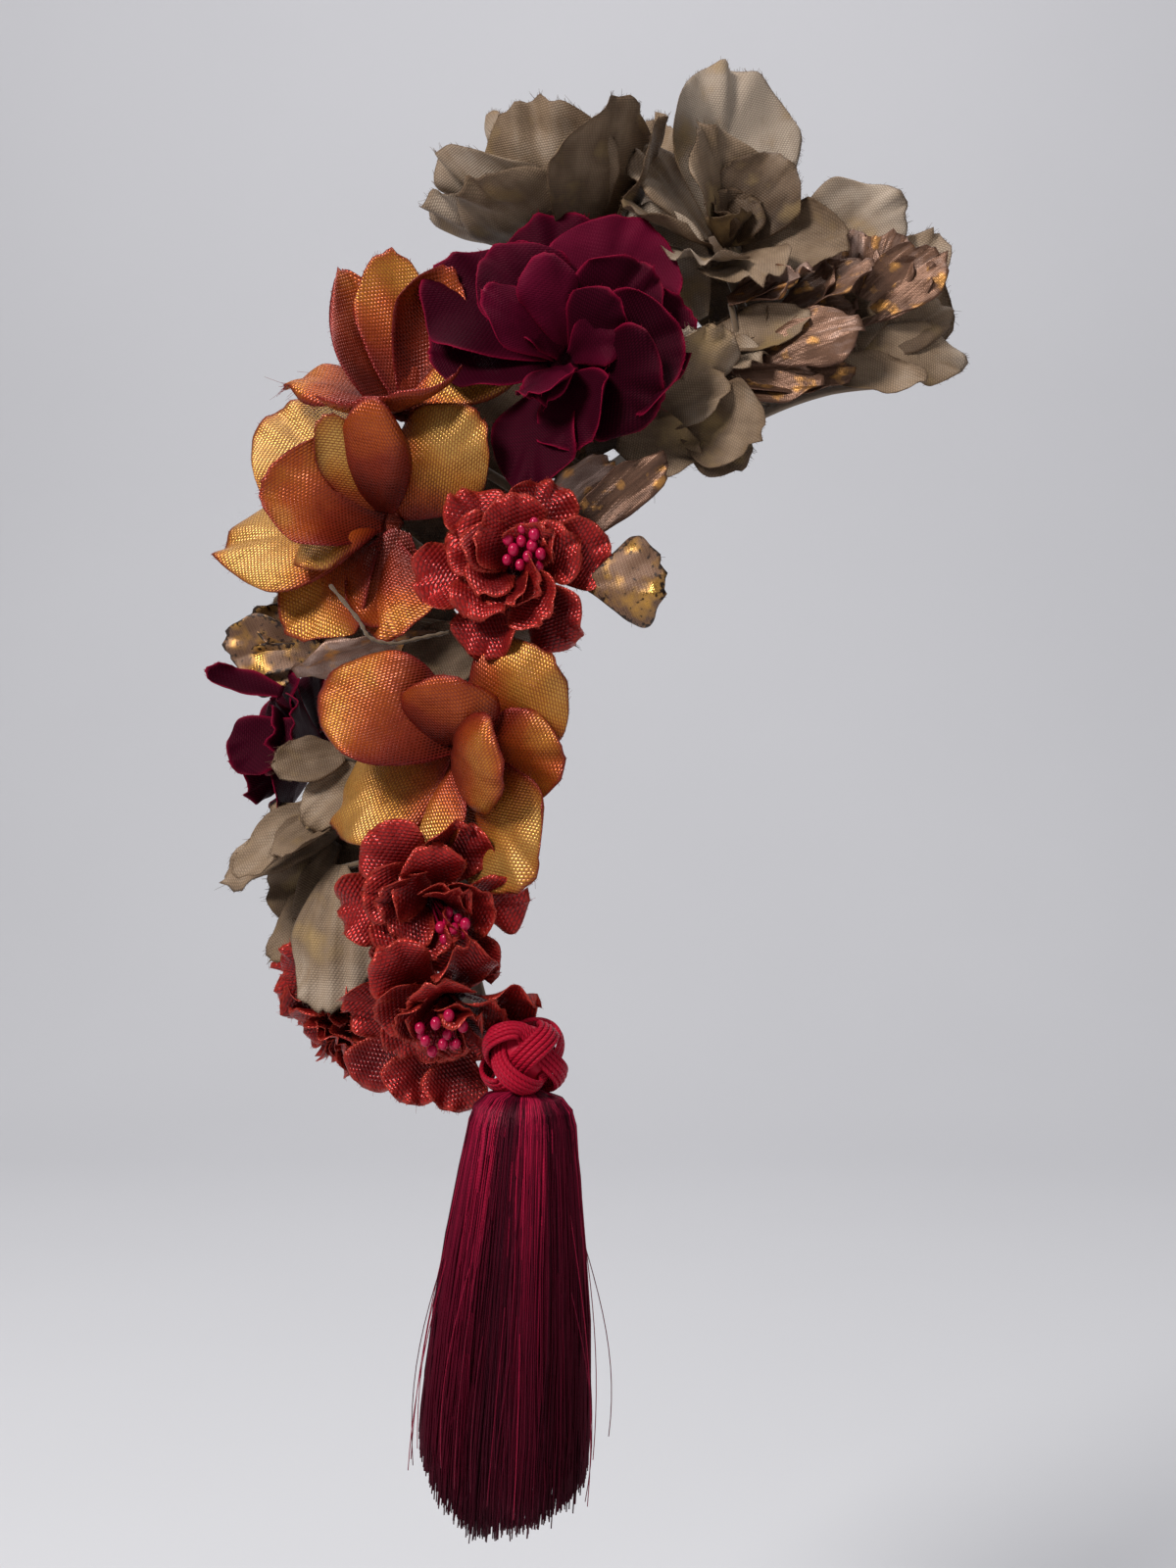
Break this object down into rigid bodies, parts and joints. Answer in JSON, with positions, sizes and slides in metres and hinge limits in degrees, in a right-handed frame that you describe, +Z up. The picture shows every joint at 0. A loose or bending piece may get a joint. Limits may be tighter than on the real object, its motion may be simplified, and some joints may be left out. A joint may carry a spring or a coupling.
{
  "type": "flower headpiece",
  "caption": "Half-crown headpiece of fabric flowers and leaves on a curved band, with a braided knot and a long thread tassel at its lower end.",
  "frame": {"origin": "crown of the head, on the inner face of the band", "axes": "+Z up; +X along the crown of the head, away from the tassel; -Y towards the side that shows the flowers"},
  "size_m": [0.1932, 0.1005, 0.3681],
  "materials": {
    "felt": "matt brown felt",
    "wine_satin": "dark wine satin with brighter edges",
    "amber_lame": "rust to gold woven metallic cloth",
    "red_lame": "red woven metallic cloth",
    "taupe_silk": "brown-grey raw silk with frayed edges",
    "copper_lame": "copper and rose-silver metallic cloth",
    "gilded_cloth": "gilded, stiffened cloth",
    "silk_thread": "crimson silk thread and cord"
  },
  "bodies": {
    "root": {"base_band": "felt", "wine_flower": "wine_satin", "wine_flower_rear": "wine_satin", "amber_flower_upper": "amber_lame", "amber_flower_middle": "amber_lame", "amber_flower_lower": "amber_lame", "red_flower_1": "red_lame", "red_flower_2": "red_lame", "red_flower_3": "red_lame", "red_flower_4": "red_lame", "taupe_flower_left": "taupe_silk", "taupe_flower_right": "taupe_silk", "gilded_leaf_right": "gilded_cloth", "gilded_leaf_left": "gilded_cloth", "copper_leaf_1": "copper_lame", "copper_leaf_2": "copper_lame", "copper_leaf_3": "copper_lame", "copper_leaf_4": "copper_lame", "copper_leaf_5": "copper_lame", "copper_leaf_side": "copper_lame", "copper_ribbon": "copper_lame", "copper_twig_leaf": "copper_lame", "taupe_leaf_end_upper": "taupe_silk", "taupe_leaf_end_middle": "taupe_silk", "taupe_leaf_end_lower": "taupe_silk", "taupe_leaf_inner_1": "taupe_silk", "taupe_leaf_inner_2": "taupe_silk", "taupe_leaf_inner_3": "taupe_silk", "taupe_leaf_head": "taupe_silk", "taupe_leaf_under_red": "taupe_silk", "taupe_leaf_side_1": "taupe_silk", "taupe_leaf_side_2": "taupe_silk", "taupe_leaf_side_3": "taupe_silk", "taupe_leaf_side_4": "taupe_silk", "taupe_leaf_side_5": "taupe_silk", "taupe_leaf_rear_1": "taupe_silk", "taupe_leaf_rear_2": "taupe_silk", "taupe_leaf_rear_3": "taupe_silk", "taupe_leaf_rear_4": "taupe_silk", "taupe_leaf_rear_5": "taupe_silk", "taupe_leaf_rear_6": "taupe_silk", "taupe_leaf_rear_7": "taupe_silk", "taupe_leaf_rear_8": "taupe_silk", "taupe_leaf_rear_9": "taupe_silk", "taupe_leaf_rear_10": "taupe_silk", "taupe_leaf_rear_11": "taupe_silk", "taupe_leaf_rear_12": "taupe_silk", "taupe_leaf_rear_13": "taupe_silk", "tassel_knot": "silk_thread", "tassel_skirt": "silk_thread"}
  },
  "joints": []
}
